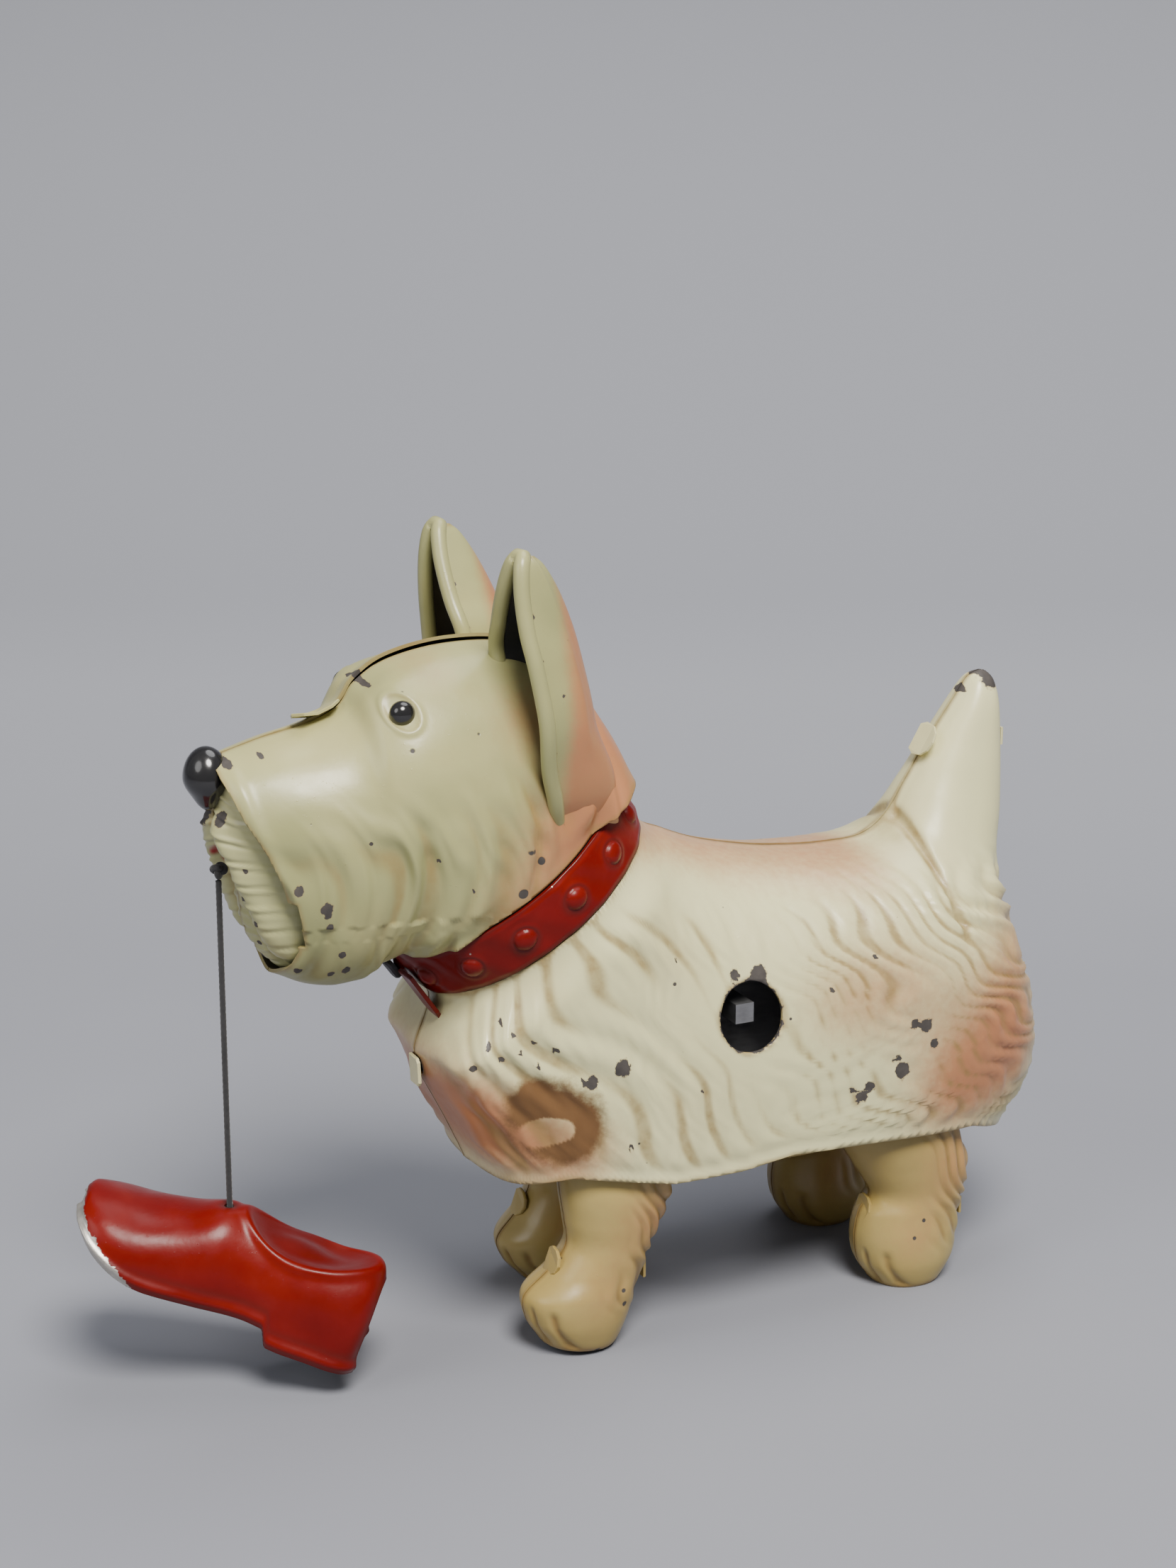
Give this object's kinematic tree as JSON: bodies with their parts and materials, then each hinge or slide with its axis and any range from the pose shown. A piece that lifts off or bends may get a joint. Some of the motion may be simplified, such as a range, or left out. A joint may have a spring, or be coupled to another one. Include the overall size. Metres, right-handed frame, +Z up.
{
  "type": "clockwork toy dog",
  "caption": "Pressed-tin clockwork terrier with a studded collar, swinging front legs and a tin shoe hanging on a thread from its mouth.",
  "frame": {"origin": "on the floor under the middle of the toy's box, thread and knots left out", "axes": "+X forward to the nose, +Y to the dog's left, where the key hole is, +Z up"},
  "size_m": [0.155, 0.044, 0.12],
  "materials": {
    "cream_paint": "sprayed cream enamel with airbrushed pink, chipped and varnish-stained",
    "leg_paint": "cream enamel under yellowed varnish",
    "red_paint": "semi-gloss red enamel, worn to bare tin on the toe",
    "gloss_black": "glossy black enamel",
    "black_thread": "twisted cotton thread",
    "steel": "plain steel, dulled",
    "brass": "stamped brass",
    "spring_steel": "blued spring steel"
  },
  "bodies": {
    "root": {"body_shell_left": "cream_paint", "body_shell_right": "cream_paint", "head_shell_left": "cream_paint", "head_shell_right": "cream_paint", "muzzle": "cream_paint", "nose": "gloss_black", "eye_left": "gloss_black", "eye_right": "gloss_black", "collar_band": "red_paint", "collar_strap_end": "red_paint", "collar_clasp": "steel", "motor_plate_left": "steel", "motor_plate_right": "steel", "motor_pillar_1": "brass", "motor_pillar_2": "brass", "motor_pillar_3": "brass", "motor_pillar_4": "brass", "hip_pin_left": "steel", "hip_pin_right": "steel", "rear_leg_rod": "steel", "rear_leg_left_strap": "steel", "rear_leg_right_strap": "steel", "rear_leg_left_outer": "leg_paint", "rear_leg_left_inner": "leg_paint", "rear_leg_right_outer": "leg_paint", "rear_leg_right_inner": "leg_paint", "mainspring": "spring_steel"},
    "great_wheel_set": {"great_wheel": "brass", "click": "spring_steel"},
    "winding_set": {"winding_arbor": "steel", "ratchet_wheel": "steel"},
    "second_set": {"second_arbor": "steel", "second_pinion": "brass", "second_wheel": "brass"},
    "crank_set": {"crankshaft": "steel", "crank_pinion": "brass", "crank_disc_left": "steel", "crank_disc_right": "steel"},
    "front_left_leg": {"front_leg_left_outer": "leg_paint", "front_leg_left_inner": "leg_paint", "front_leg_left_lever": "steel"},
    "front_right_leg": {"front_leg_right_outer": "leg_paint", "front_leg_right_inner": "leg_paint", "front_leg_right_lever": "steel"},
    "knot": {"mouth_knot": "black_thread"},
    "hanging_thread": {"thread": "black_thread"},
    "hanging_shoe": {"shoe": "red_paint", "shoe_knot": "black_thread"}
  },
  "joints": [
    {"name": "great_wheel_turn", "type": "hinge", "parent": "root", "child": "great_wheel_set", "pos_m": [-0.01861, 0, 0.05], "axis": [0, 1, 0], "continuous": true},
    {"name": "arbor_wind", "type": "hinge", "parent": "great_wheel_set", "child": "winding_set", "pos_m": [-0.01861, 0, 0.05], "axis": [0, 1, 0], "continuous": true},
    {"name": "second_turn", "type": "hinge", "parent": "root", "child": "second_set", "pos_m": [-0.00067, 0, 0.04856], "axis": [0, 1, 0], "continuous": true},
    {"name": "crank_turn", "type": "hinge", "parent": "root", "child": "crank_set", "pos_m": [0.00049, 0, 0.0605], "axis": [0, 1, 0], "continuous": true},
    {"name": "front_left_swing", "type": "hinge", "parent": "root", "child": "front_left_leg", "pos_m": [0.00049, 0, 0.046], "axis": [0, 1, 0], "range_deg": [0, 10]},
    {"name": "front_right_swing", "type": "hinge", "parent": "root", "child": "front_right_leg", "pos_m": [0.00049, 0, 0.046], "axis": [0, 1, 0], "range_deg": [-10, 0]},
    {"name": "knot_swing_sideways", "type": "hinge", "parent": "root", "child": "knot", "pos_m": [0.05519, 0, 0.0766], "axis": [1, 0, 0], "range_deg": [-20, 20]},
    {"name": "thread_swing", "type": "hinge", "parent": "knot", "child": "hanging_thread", "pos_m": [0.05519, 0, 0.0766], "axis": [0, 1, 0], "range_deg": [-25, 12]},
    {"name": "shoe_twist", "type": "hinge", "parent": "hanging_thread", "child": "hanging_shoe", "pos_m": [0.05519, 0, 0.0247], "axis": [0, 0, 1], "range_deg": [-60, 60]}
  ],
  "couplings": [
    {"joint": "second_turn", "follows": "great_wheel_turn", "ratio": -4},
    {"joint": "crank_turn", "follows": "great_wheel_turn", "ratio": 12},
    {"joint": "front_right_swing", "follows": "front_left_swing", "ratio": -1}
  ]
}
